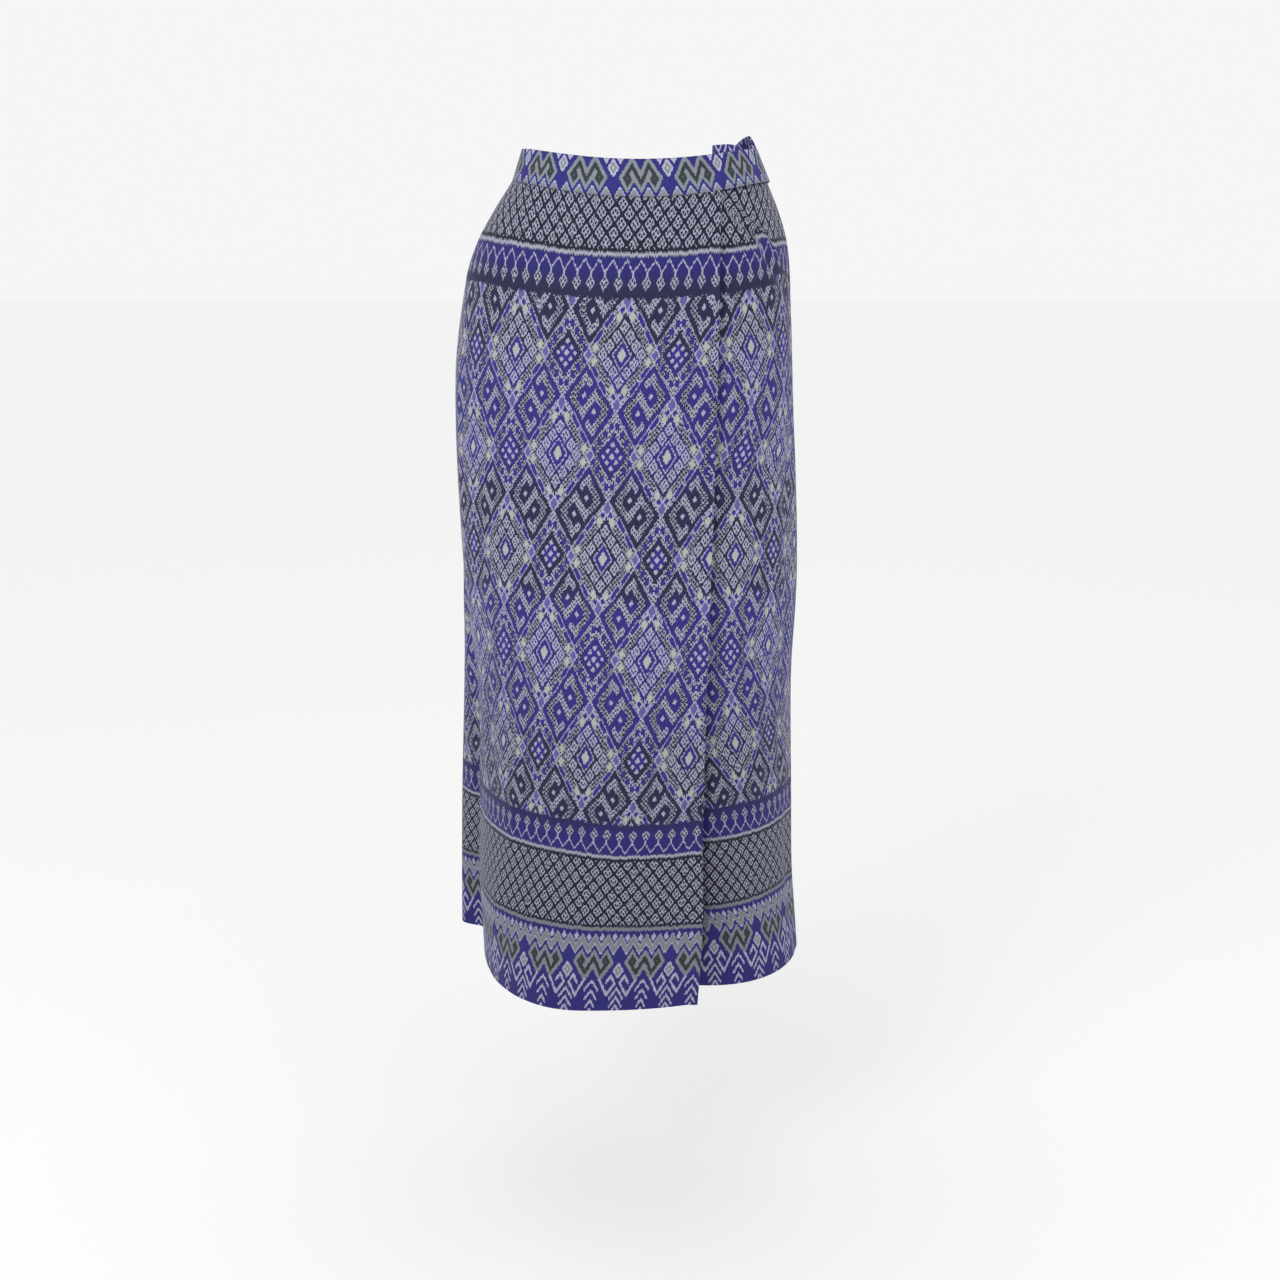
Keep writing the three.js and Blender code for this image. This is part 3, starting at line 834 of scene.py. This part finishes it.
class Chart:
    """The dyed colours of a quarter of a repeat, in cells of about a millimetre."""

    def __init__(self, width, height, columns, rows, low=0.0):
        self.cell = (width / columns, (height - low) / rows)
        self.low = low
        x = (np.arange(columns) + 0.5) * self.cell[0]
        y = (np.arange(rows) + 0.5) * self.cell[1] + low
        self.x, self.y = np.meshgrid(x, y)
        self.threads = np.full((rows, columns), GROUND)

    def paint(self, where, thread):
        self.threads[where] = thread

    def diamond(self, centre, reach):
        """0 in the middle of a diamond and 1 on its edge."""
        across = abs(self.x - centre[0]) / reach[0]
        return across + abs(self.y - centre[1]) / reach[1]

    def paint_diamond(self, centre, reach, thread):
        self.paint(self.diamond(centre, reach) < 1, thread)

    def paint_diamonds(self, centre, places, reach, thread):
        """Small diamonds at places counted from a centre."""
        for x, y in places:
            self.paint_diamond((centre[0] + x, centre[1] + y), reach, thread)

    def mesh_dots(self, centre=(0, 0)):
        """Dots in staggered rows."""
        dots = np.zeros(self.x.shape, bool)
        for shift in (0, 0.5):
            x = (self.x - centre[0]) / MESH[0] + shift
            y = (self.y - centre[1]) / MESH[1] + shift
            dots |= abs(x - np.rint(x)) + abs(y - np.rint(y)) < MESH_DOT / 2
        return dots

    def off_line(self, points, centre=(0, 0)):
        """How far each cell is from a line through the points, for a diamond-shaped pen."""
        nearest = np.full(self.x.shape, np.inf)
        for (ax, ay), (bx, by) in zip(points, points[1:]):
            x, y = self.x - centre[0] - ax, self.y - centre[1] - ay
            dx, dy = bx - ax, by - ay
            t = clamp((x * dx + y * dy) / (dx * dx + dy * dy))
            off = abs(x - t * dx) + abs(y - t * dy) * PEN_SLIMNESS
            nearest = np.minimum(nearest, off)
        return nearest


def draw_hook(chart, centre):
    """An S of meshed band turned about the middle, each half curled round a seed."""
    turn = [(5.4, -27), (15.2, -9.5), (15.8, -3), (5.4, 9.6)]
    turn += [(-x, -y) for x, y in reversed(turn)]
    off = chart.off_line(turn, centre)
    for way in (1, -1):
        tip = chart.off_line([(1.6 * way, -22.5 * way), (0.6 * way, -20 * way)], centre)
        off = np.minimum(off, tip + 0.7)
    chart.paint(off < 3.5, WHITE)
    chart.paint((off < 3.5) & chart.mesh_dots(centre), CHARCOAL)
    chart.paint_diamonds(centre, ((5.2, -8), (-5.2, 8)), (2.4, 3), WHITE)


def draw_bead_figure(chart, centre):
    """A dark ring round eight dots, inside a broad meshed diamond with blue cells."""
    reach = (27, 45)
    edge = chart.diamond(centre, reach)
    across = abs(chart.x - centre[0]) / reach[0] - abs(chart.y - centre[1]) / reach[1]
    cells = across / 0.36 - 0.5
    cell = abs(cells - np.rint(cells)) * 0.36 + abs(edge - 0.78)
    chart.paint(edge < 1, WHITE)
    chart.paint((edge < 0.97) & chart.mesh_dots(centre), CHARCOAL)
    chart.paint(cell < 0.15, BLUE)
    chart.paint(edge < 0.53, GROUND)
    chart.paint_diamond(centre, (9.5, 14), BLUE)
    dots = ((0, 11.4), (4.5, 5.8), (-4.5, 5.8), (8.2, 0), (-8.2, 0))
    chart.paint_diamonds(centre, dots, (2.3, 2.8), WHITE)
    chart.paint_diamond(centre, (2.6, 3.2), WHITE)


def draw_eye_figure(chart):
    """A cream eye in a blue ring among meshed lozenges, with cream wings at its points."""
    outer = chart.diamond((0, 0), (38.5, 60))
    chart.paint(outer < 1, WHITE)
    chart.paint((outer < 0.97) & chart.mesh_dots(), CHARCOAL)
    for leaf in (((12.8, 37.5), (17.6, 29)), ((22, 21.5), (26.4, 13.5)), ((3.4, 43.4), (5, 42))):
        off = chart.off_line(leaf)
        chart.paint(off < 3.2, WHITE)
        chart.paint(off < 2.3, BLUE)
    chart.paint_diamond((0, 0), (24, 41), GROUND)
    chart.paint_diamonds((0, 0), ((26, 7), (6.2, 37)), (3.4, 5.6), CREAM)
    for lozenge in ((0, 27.5), (6.4, 18.3), (12.6, 9.2), (18.4, 0)):
        chart.paint_diamond(lozenge, (4.9, 7.4), WHITE)
        panes = ((1.9, 0), (-1.9, 0), (0, 3), (0, -3))
        chart.paint_diamonds(lozenge, panes, (1.2, 1.9), GROUND)
    chart.paint_diamond((0, 0), (9.8, 16.4), WHITE)
    chart.paint_diamond((0, 0), (8.5, 14.8), BLUE)
    chart.paint_diamond((0, 0), (4.4, 7.8), CREAM)


def draw_link(chart, centre, reach=(5.6, 9.5)):
    """The small misty lozenge that joins one figure to the next."""
    lozenge = chart.diamond(centre, reach)
    chart.paint(lozenge < 1, WHITE)
    chart.paint(lozenge < 0.72, MIST)


def field_chart():
    chart = Chart(REPEAT / 2, FIGURE_STEP / 2, 64, 50)
    draw_eye_figure(chart)
    draw_hook(chart, (REPEAT / 4, FIGURE_STEP / 2))
    draw_bead_figure(chart, (REPEAT / 2, 0))
    draw_link(chart, (32, 0), (5, 8))
    draw_link(chart, (0, FIGURE_STEP / 2))
    draw_link(chart, (REPEAT / 2, FIGURE_STEP / 2))
    return chart


def lattice_chart():
    """Lozenges of four panes in a dark net."""
    half = (PENDANT_STEP / 2, LATTICE_STEP / 2)
    chart = Chart(*half, 16, 20)
    chart.paint(chart.x > -1, CHARCOAL)
    for centre in ((0, 0), half):
        chart.paint_diamond(centre, (4.8, 6.3), WHITE)
        panes = ((0, 2.7), (0, -2.7), (2, 0), (-2, 0))
        chart.paint_diamonds(centre, panes, (1.4, 1.9), CHARCOAL)
    return chart


def pendant_chart():
    """A grey line, a white zigzag under it and a lozenge hung from each of its points."""
    half = PENDANT_STEP / 2
    chart = Chart(half, PENDANT_REACH, 16, 41, low=-PENDANT_UNDER)
    chart.paint(chart.y < 1.7, CHARCOAL)
    chart.paint(abs(chart.y) < 1.8, OLIVE)
    chart.paint(abs(chart.y) < 0.8, WHITE)
    zigzag = chart.off_line([(0, 4.6), (half, 14.8), (half, 18)])
    chart.paint(zigzag < 0.65, WHITE)
    lozenge = (half, 23.5)
    chart.paint_diamond(lozenge, (4.3, 6.5), WHITE)
    panes = ((0, 2.8), (0, -2.8), (-2, 0))
    chart.paint_diamonds(lozenge, panes, (1.35, 1.9), CHARCOAL)
    return chart


def draw_arrow(chart, axis, chevrons):
    """Chevrons one under another, as (apex, how far the arms go out and down)."""
    for apex, out, down in chevrons:
        low = apex - down
        off = chart.off_line([(axis - out, low), (axis, apex), (axis + out, low)])
        chart.paint(off < 1.15, WHITE)


def border_chart():
    """From the hem up: arrows, hooked diamonds between curled figures, chevrons, teeth."""
    half = BORDER_STEP / 2
    chart = Chart(half, BORDER_HEIGHT, 32, 96)
    draw_arrow(chart, 0, ((33.5, 7, 10.5), (22.5, 5.8, 9.5), (11.5, 4.2, 7.5), (2, 3, 5)))
    draw_arrow(chart, half, ((24.5, 6.6, 11), (14.5, 6, 10), (5, 4, 6)))
    # The chevrons' peaks stand at the two axes and half way between them.
    rise = 11.8 * abs(chart.x / half * 2 - np.rint(chart.x / half * 2)) * 2
    curl = [(0, 59), (8.2, 42), (15.5, 54), (13, 59.5), (10.4, 55.5), (12, 51.5)]
    off = chart.off_line(curl)
    level = chart.y + rise
    chart.paint((off < 6) & (level < 69), OLIVE)
    chart.paint(off < 2.1, BLACK)
    hook = [(18.7, 34), (10.3, 17), (2.7, 30.5), (7, 39), (11.2, 31.5)]
    chart.paint(chart.off_line([(half - x, y) for x, y in hook]) < 1.35, WHITE)
    diamond = chart.diamond((half, 44.5), (6, 9.6))
    chart.paint(diamond < 1, WHITE)
    chart.paint(diamond < 0.66, OLIVE)
    chart.paint(diamond < 0.2, CREAM)
    chevrons = ((69.5, 74, GROUND), (74, 86, OLIVE), (74, 75.6, WHITE), (84.4, 86, WHITE))
    for low, high, thread in chevrons:
        chart.paint((level > low) & (level < high), thread)
    chart.paint(level > 86, GROUND)
    chart.paint_diamonds((0, 81.8), ((half / 4, 0), (half * 3 / 4, 0)), (2.6, 5), WHITE)
    chart.paint(chart.y > 88.6, OLIVE)
    chart.paint(chart.y > 92.6, CHARCOAL)
    return chart


# ---- Shader nodes ----


class Nodes:
    """Short ways to add nodes to a tree and join them up."""

    def __init__(self, tree):
        self.tree = tree

    def add(self, kind, values=(), **settings):
        node = self.tree.nodes.new(kind)
        for name, value in settings.items():
            setattr(node, name, value)
        for socket, value in zip(node.inputs, values):
            self.feed(socket, value)
        return node

    def feed(self, socket, value):
        if isinstance(value, bpy.types.NodeSocket):
            self.tree.links.new(value, socket)
        elif value is not None:
            socket.default_value = value

    def math(self, operation, *values):
        return self.add("ShaderNodeMath", values, operation=operation).outputs[0]

    def cell_of(self, place, size):
        return self.math("FLOOR", self.math("DIVIDE", place, size))

    def vector(self, operation, *values):
        return self.add("ShaderNodeVectorMath", values, operation=operation).outputs["Vector"]

    def join(self, x, y, z=0.0):
        return self.add("ShaderNodeCombineXYZ", (x, y, z)).outputs[0]

    def blend(self, share, low, high, kind="FLOAT"):
        """low where share is 0 and high where it is 1."""
        node = self.add("ShaderNodeMix", data_type=kind)
        sockets = [s for s in node.inputs if s.enabled]
        for socket, value in zip(sockets, (share, low, high)):
            self.feed(socket, value)
        return next(s for s in node.outputs if s.enabled)

    def group(self, tree, **values):
        node = self.add("ShaderNodeGroup", node_tree=tree)
        for name, value in values.items():
            self.feed(node.inputs[name], value)
        return node.outputs

    def ramp(self, place, steps, interpolation="CONSTANT"):
        """A colour ramp with (position, colour) steps."""
        node = self.add("ShaderNodeValToRGB", [place])
        ramp = node.color_ramp
        ramp.interpolation = interpolation
        ramp.elements.remove(ramp.elements[1])
        for k, (position, colour) in enumerate(steps):
            element = ramp.elements[0] if k == 0 else ramp.elements.new(position)
            element.position = position
            element.color = colour
        return node.outputs["Color"]


def new_group(name, inputs, outputs):
    """A node group's builder, its inputs by name and its output node."""
    tree = bpy.data.node_groups.new(name, "ShaderNodeTree")
    for way, labels in (("INPUT", inputs), ("OUTPUT", outputs)):
        for label in labels:
            kind = "NodeSocketColor" if label == "Color" else "NodeSocketFloat"
            tree.interface.new_socket(label, in_out=way, socket_type=kind)
    nodes = Nodes(tree)
    given = nodes.add("NodeGroupInput").outputs
    return nodes, given, nodes.add("NodeGroupOutput").inputs


CHANNEL_COLUMNS = 16  # of a chart, as bits of one colour channel
RAMP_ROWS = 32  # of a chart, as steps of one colour ramp
RAMP_CELLS = 255  # a ramp's table is this fine
ROW_CELLS = 8


def row_colour(threads):
    """A row of thread numbers as a colour: a bit of each in red, in green and in blue."""
    places = 2.0 ** -np.arange(1, len(threads) + 1)
    half_bit = 0.5 ** (CHANNEL_COLUMNS + 1)
    planes = [((threads // weight) % 2 * places).sum() + half_bit for weight in (4, 2, 1)]
    return (*planes, 1)


def chart_group(name, chart):
    """Finds the thread at a place in a chart, in mm from its corner."""
    nodes, given, result = new_group(name, ["Across", "Up"], ["Thread"])
    rows, columns = chart.threads.shape

    def cell(distance, size, count):
        index = nodes.math("MAXIMUM", nodes.cell_of(distance, size), 0)
        return nodes.math("MINIMUM", index, count - 1)

    column = cell(given["Across"], chart.cell[0], columns)
    row = cell(nodes.math("SUBTRACT", given["Up"], chart.low), chart.cell[1], rows)
    step = ROW_CELLS / RAMP_CELLS
    place = nodes.math("MULTIPLY_ADD", nodes.math("MODULO", row, RAMP_ROWS), step, step / 2)
    stack = nodes.cell_of(row, RAMP_ROWS)
    side = nodes.cell_of(column, CHANNEL_COLUMNS)
    found = (0, 0, 0)
    for top in range(0, rows, RAMP_ROWS):
        in_stack = nodes.math("COMPARE", stack, top // RAMP_ROWS, 0.1)
        for left in range(0, columns, CHANNEL_COLUMNS):
            block = chart.threads[top:top + RAMP_ROWS, left:left + CHANNEL_COLUMNS]
            steps = [(k * step, row_colour(line)) for k, line in enumerate(block)]
            in_side = nodes.math("COMPARE", side, left // CHANNEL_COLUMNS, 0.1)
            chosen = nodes.math("MULTIPLY", in_stack, in_side)
            found = nodes.vector("MULTIPLY_ADD", nodes.ramp(place, steps), chosen, found)
    depth = nodes.math("ADD", nodes.math("MODULO", column, CHANNEL_COLUMNS), 1)
    shifted = nodes.vector("MULTIPLY", found, nodes.math("POWER", 2, depth))
    bits = nodes.vector("MODULO", nodes.vector("FLOOR", shifted), (2, 2, 2))
    weigh = nodes.add("ShaderNodeVectorMath", (bits, (4, 2, 1)), operation="DOT_PRODUCT")
    nodes.feed(result["Thread"], weigh.outputs["Value"])
    return nodes.tree


# ---- Where the figures lie on the cloth ----

EYE_ROW = 276.0  # of the lowest row of eye figures, up from the hem
FIELD_MIDDLE = 469.5  # the grey lines lie the same way above and below it
FIELD_HALF = 299.5
LATTICE_START = 8.7  # from the grey line to the middle of the first lozenges
BORDER_TOP = 95.5
PENDANT_SHIFT = 9.6
BORDER_SHIFT = 28.0
LATTICE_SHIFT = 0.8


def figures_group():
    """The thread at any place on the cloth."""
    nodes, given, result = new_group("mudmee_figures", ["Weft", "Warp"], ["Thread"])
    weft, warp = given["Weft"], given["Warp"]

    def fold(value, start, half):
        return nodes.math("PINGPONG", nodes.math("SUBTRACT", value, start), half)

    def threads(name, chart, across, up):
        return nodes.group(chart_group(name, chart), Across=across, Up=up)["Thread"]

    x = fold(weft, 0.0, REPEAT / 2)
    y = fold(warp, EYE_ROW, FIGURE_STEP)
    turned = nodes.math("GREATER_THAN", y, FIGURE_STEP / 2)
    x = nodes.blend(turned, x, nodes.math("SUBTRACT", REPEAT / 2, x))
    y = nodes.blend(turned, y, nodes.math("SUBTRACT", FIGURE_STEP, y))
    field = threads("field", field_chart(), x, y)

    off_middle = nodes.math("ABSOLUTE", nodes.math("SUBTRACT", warp, FIELD_MIDDLE))
    below_line = nodes.math("SUBTRACT", FIELD_HALF, off_middle)
    x = fold(weft, PENDANT_SHIFT, PENDANT_STEP / 2)
    pendants = threads("pendants", pendant_chart(), x, below_line)
    x = fold(weft, LATTICE_SHIFT, PENDANT_STEP / 2)
    y = fold(off_middle, FIELD_HALF + LATTICE_START, LATTICE_STEP / 2)
    lattice = threads("lattice", lattice_chart(), x, y)
    border = threads("border", border_chart(), fold(weft, BORDER_SHIFT, BORDER_STEP / 2), warp)
    in_field = nodes.math("GREATER_THAN", below_line, PENDANT_REACH)
    in_pendants = nodes.math("GREATER_THAN", below_line, -PENDANT_UNDER)
    in_border = nodes.math("LESS_THAN", warp, BORDER_TOP)
    thread = nodes.blend(in_pendants, lattice, pendants)
    thread = nodes.blend(in_field, thread, field)
    nodes.feed(result["Thread"], nodes.blend(in_border, thread, border))
    return nodes.tree


# ---- Cloth finish ----


def dye(red, green, blue):
    """A colour given as it looks, out of 255, as the light it gives back."""
    share = np.array([red, green, blue]) / 255
    light = np.where(share <= 0.04045, share / 12.92, ((share + 0.055) / 1.055) ** 2.4)
    return (*map(float, light), 1)


ROYAL = dye(51, 47, 120)
HEM_BLUE = dye(46, 43, 110)
NAVY = dye(42, 44, 72)
THREADS = {
    GROUND: ROYAL,
    CHARCOAL: dye(34, 36, 52),
    BLUE: dye(54, 48, 126),
    WHITE: dye(161, 161, 182),
    CREAM: dye(168, 171, 166),
    MIST: dye(92, 90, 150),
    OLIVE: dye(118, 124, 130),
    BLACK: dye(50, 54, 60),
}
# Up the warp from the hem in mm: where the ground is dyed navy or royal blue.
GROUND_DYES = (
    (0, HEM_BLUE), (192, HEM_BLUE), (212, NAVY), (285, NAVY), (300, ROYAL), (428, ROYAL),
    (445, NAVY), (540, NAVY), (575, ROYAL), (660, ROYAL), (690, NAVY), (740, NAVY),
    (756, HEM_BLUE), (800, HEM_BLUE),
)
# The same way up: how much light the yarns give back, less towards the hem. This is partly
# darker dye and partly painted shade, where the studio light falls off towards the hem.
DYE_AND_LIGHT_FALLOFF = ((0, 0.86), (62, 0.95), (95, 0.82), (180, 0.86), (300, 0.9), (420, 1))
CLOTH_HEIGHT = 900.0
YARN = 0.85  # width of the yarns that were tied and dyed together
YARN_SLIP = 1.1  # how far up or down a bundle of them lies from the next
SLIP_LENGTH = 37.0  # of warp over which a bundle keeps its place
WEAVE_PITCH = 0.42
RELIEF_HEIGHT = 0.1 * MM
SHEEN_TINT = (0.75, 0.78, 1, 1)
STREAK = (1.1, 9.0)  # width and length of a streak in the dye


def slipped_group():
    """Moves the figures up and down yarn by yarn, which feathers their edges."""
    nodes, given, result = new_group("yarn_slip", ["Weft", "Warp", "Slip"], ["Warp"])
    yarn = nodes.cell_of(given["Weft"], YARN)
    bundle = nodes.join(yarn, nodes.cell_of(given["Warp"], SLIP_LENGTH))
    chance = nodes.add("ShaderNodeTexWhiteNoise", [bundle], noise_dimensions="2D")
    aside = nodes.math("SUBTRACT", chance.outputs["Value"], 0.5)
    slip = nodes.math("MULTIPLY", aside, given["Slip"])
    nodes.feed(result["Warp"], nodes.math("ADD", given["Warp"], slip))
    return nodes.tree


def dyes_and_shade_group():
    """Thread numbers as colours, over a ground whose dye changes up the cloth, then darker
    towards the hem: partly darker dye, partly painted shade.
    """
    nodes, given, result = new_group("dyes_and_shade", ["Thread", "Warp"], ["Color"])
    step = 1 / len(THREADS)
    place = nodes.math("MULTIPLY_ADD", given["Thread"], step, step / 2)
    thread = nodes.ramp(place, [(k * step, colour) for k, colour in THREADS.items()])
    height = nodes.math("DIVIDE", given["Warp"], CLOTH_HEIGHT)
    ground = nodes.ramp(height, [(z / CLOTH_HEIGHT, colour) for z, colour in GROUND_DYES],
                        "LINEAR")
    dyed = nodes.math("GREATER_THAN", given["Thread"], 0.5)
    colour = nodes.blend(dyed, ground, thread, "RGBA")
    # Painted shade: the colour is darkened towards the hem, where the light falls off, together
    # with the darker dye there.
    dye_and_shade_steps = [(z / CLOTH_HEIGHT, (light, light, light, 1)) for z, light in DYE_AND_LIGHT_FALLOFF]
    shade_of = nodes.ramp(height, dye_and_shade_steps, "LINEAR")
    nodes.feed(result["Color"], nodes.vector("MULTIPLY", colour, shade_of))
    return nodes.tree


def weave_group():
    """A plain weave: its height, and streaks where yarns took the dye unevenly."""
    nodes, given, result = new_group(
        "plain_weave", ["Weft", "Warp", "Pitch"], ["Height", "Streaks"]
    )
    turn = nodes.math("DIVIDE", math.pi, given["Pitch"])
    across = nodes.math("SINE", nodes.math("MULTIPLY", given["Weft"], turn))
    down = nodes.math("SINE", nodes.math("MULTIPLY", given["Warp"], turn))
    over = nodes.math("MULTIPLY", across, down)
    nodes.feed(result["Height"], nodes.math("MULTIPLY_ADD", over, 0.5, 0.5))
    along = nodes.join(nodes.math("DIVIDE", given["Weft"], STREAK[0]),
                       nodes.math("DIVIDE", given["Warp"], STREAK[1]))
    streaks = nodes.add("ShaderNodeTexNoise", noise_dimensions="2D")
    nodes.feed(streaks.inputs["Vector"], along)
    set_inputs(streaks, {"Scale": 1, "Detail": 2})
    nodes.feed(result["Streaks"], streaks.outputs["Fac"])
    return nodes.tree


def dress(pieces, name, groups, roughness, slip, bump, tone):
    """Gives pieces the dyed cloth, laid on their own weave maps, which are in metres."""
    finish, shader = new_finish(name)
    nodes = Nodes(finish.node_tree)
    weave_map = nodes.add("ShaderNodeUVMap", uv_map="weave").outputs["UV"]
    in_mm = nodes.vector("MULTIPLY", weave_map, (1000, 1000, 0))
    places = nodes.add("ShaderNodeSeparateXYZ", [in_mm]).outputs
    weft, warp = places["X"], places["Y"]
    slipped = nodes.group(groups["slip"], Weft=weft, Warp=warp, Slip=slip)["Warp"]
    thread = nodes.group(groups["figures"], Weft=weft, Warp=slipped)["Thread"]
    colour = nodes.group(groups["dyes_and_shade"], Thread=thread, Warp=slipped)["Color"]
    weave = nodes.group(groups["weave"], Weft=weft, Warp=warp, Pitch=WEAVE_PITCH)
    shade_of = nodes.math("MULTIPLY_ADD", weave["Streaks"], 0.5 * tone, 0.75 * tone)
    tinted = nodes.vector("MULTIPLY", colour, shade_of)
    nodes.feed(shader.inputs["Base Color"], tinted)
    rough = nodes.math("MULTIPLY_ADD", weave["Streaks"], 0.2, roughness - 0.1)
    nodes.feed(shader.inputs["Roughness"], rough)
    relief = nodes.add("ShaderNodeBump")
    set_inputs(relief, {"Strength": bump, "Distance": RELIEF_HEIGHT})
    nodes.feed(relief.inputs["Height"], weave["Height"])
    nodes.feed(shader.inputs["Normal"], relief.outputs["Normal"])
    set_inputs(shader, {"Specular IOR Level": 0.1, "Sheen Weight": 0.1,
                        "Sheen Roughness": 0.4, "Sheen Tint": SHEEN_TINT})
    for piece in pieces:
        piece.data.materials.append(finish)


shared = {
    "slip": slipped_group(),
    "figures": figures_group(),
    "dyes_and_shade": dyes_and_shade_group(),
    "weave": weave_group(),
}
dress(panels, "mudmee_cloth", shared, roughness=0.62, slip=2 * YARN_SLIP, bump=0.35, tone=1)
dress(bands, "waistband_cloth", shared, roughness=0.66, slip=YARN_SLIP, bump=0.3, tone=1.32)
